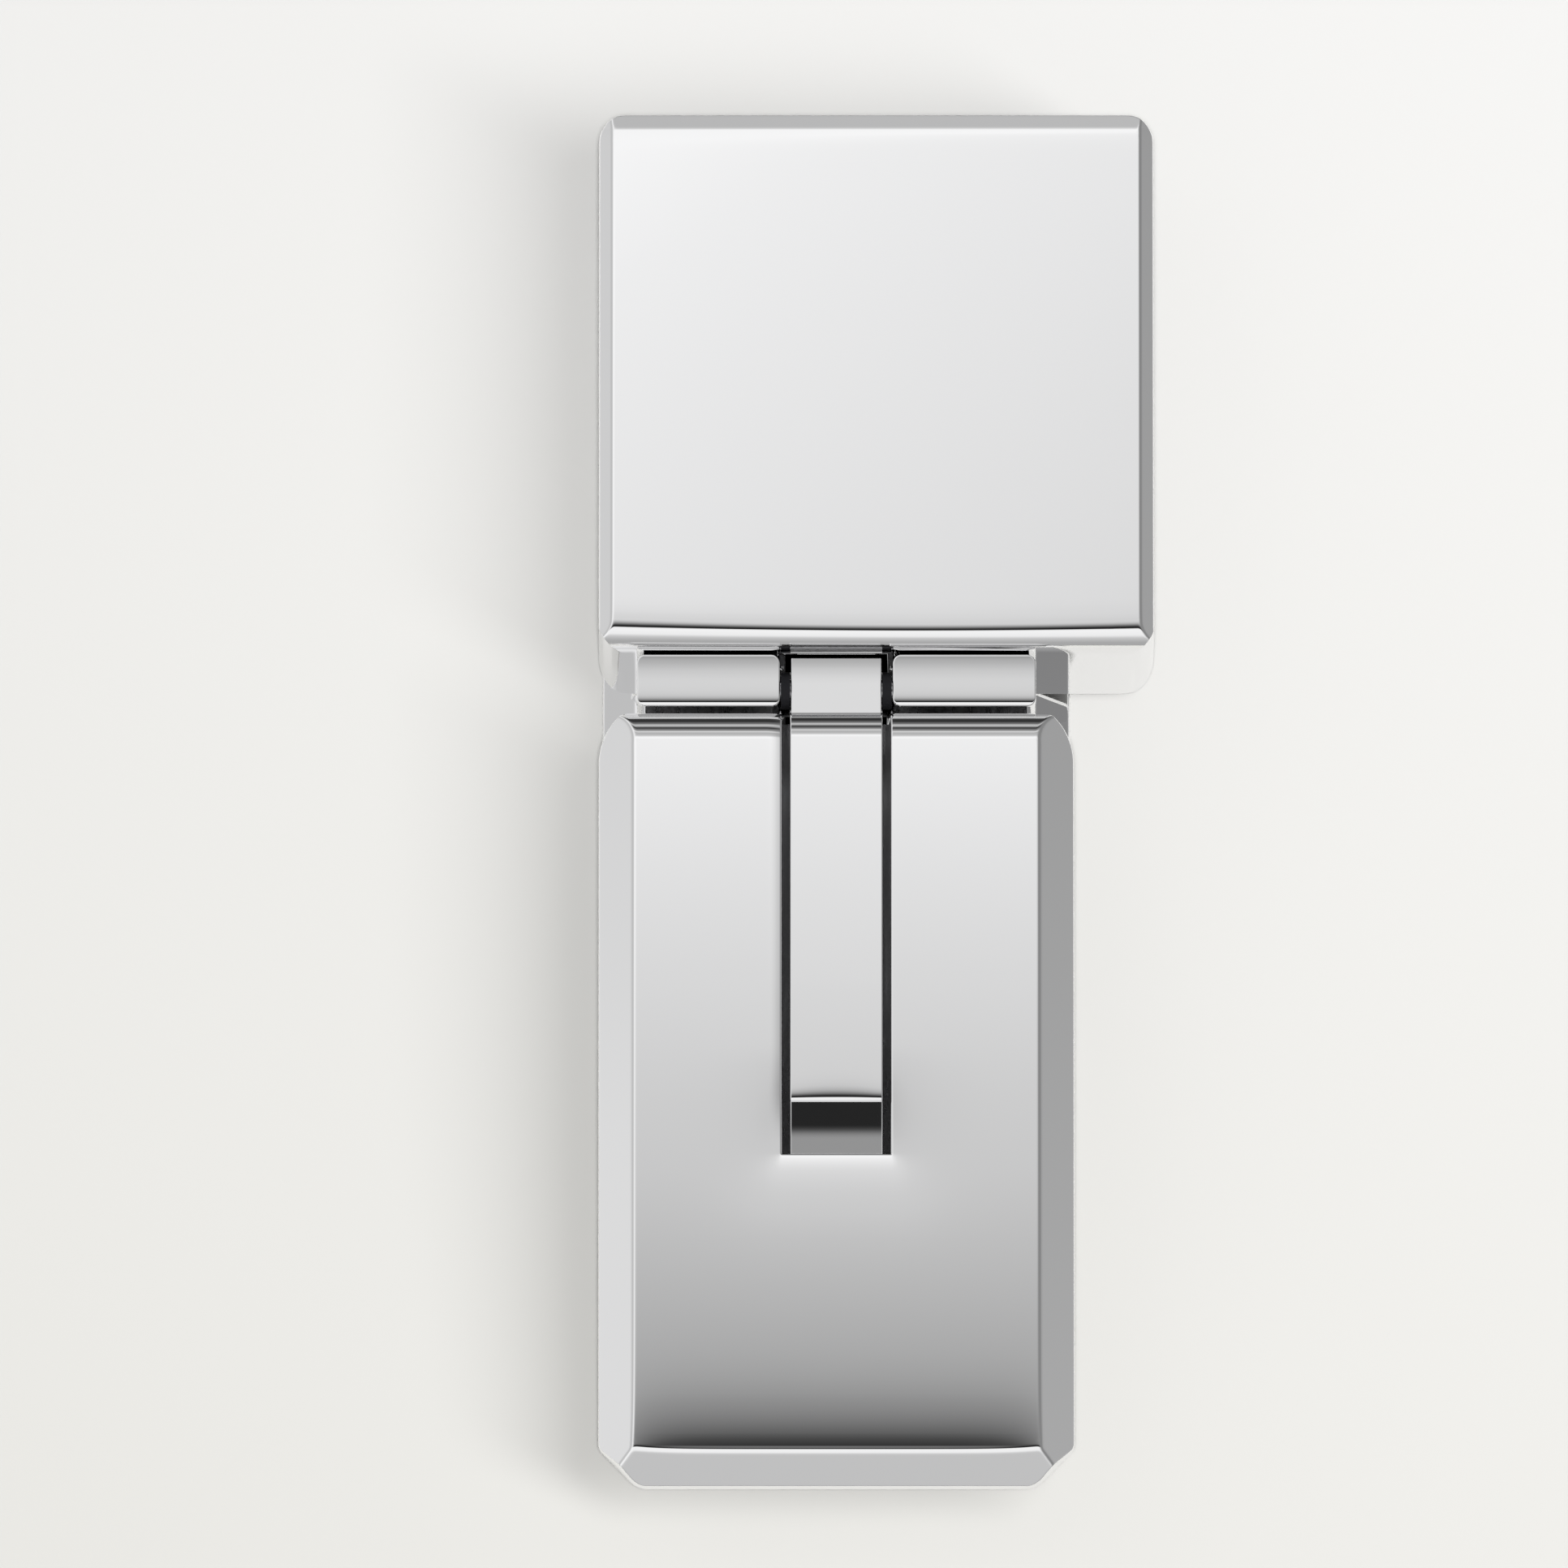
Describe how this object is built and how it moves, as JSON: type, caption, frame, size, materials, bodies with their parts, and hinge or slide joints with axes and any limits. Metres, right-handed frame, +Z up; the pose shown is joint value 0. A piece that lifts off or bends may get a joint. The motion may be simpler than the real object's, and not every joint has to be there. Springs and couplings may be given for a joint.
{
  "type": "hinged money clip",
  "caption": "Metal money clip with a square hollow head on a long back plate and a bevelled arm that lifts on a three-knuckle hinge and springs on a centre strap.",
  "frame": {"origin": "middle of the closed clip's bounding box, on the plane it lies on", "axes": "+Y along the clip towards the square head, +Z up out of the face, +X to the side on which the head overhangs the arm"},
  "size_m": [0.0256, 0.065, 0.0092],
  "materials": {
    "polished_steel": "mirror polish with a few hairline marks",
    "inner_steel": "fine brushed, unpolished inside surfaces",
    "spring_steel": "polished spring strip",
    "screw_steel": "turned screws and pin",
    "washer_polymer": "black low-friction polymer"
  },
  "bodies": {
    "clip_frame": {"back_plate": "polished_steel", "head_base": "inner_steel", "head_shell": "polished_steel", "head_screws": "screw_steel", "hinge_block_left": "polished_steel", "hinge_block_right": "polished_steel", "block_screws": "screw_steel", "hinge_pin": "screw_steel", "pin_end_plugs": "polished_steel", "thrust_washers": "washer_polymer", "detent_spring": "spring_steel", "spring_seat": "inner_steel", "spring_clamp": "inner_steel", "spring_screws": "screw_steel"},
    "knuckle": {"hinge_knuckle": "polished_steel", "spring_strap": "spring_steel", "tail_screws": "screw_steel"},
    "arm": {"arm_plate": "polished_steel", "foot_screws": "screw_steel"}
  },
  "joints": [
    {"name": "arm_hinge", "type": "hinge", "parent": "clip_frame", "child": "knuckle", "pos_m": [-0.00185, 0.00528, 0.0072], "axis": [-1, 0, 0], "range_deg": [0, 90], "deforming": ["detent_spring"]},
    {"name": "strap_flex", "type": "hinge", "parent": "knuckle", "child": "arm", "pos_m": [-0.00185, -0.0081, 0.00865], "axis": [-1, 0, 0], "range_deg": [0, 4], "stiffness_Nm_per_rad": 0.5, "deforming": ["spring_strap"]}
  ]
}
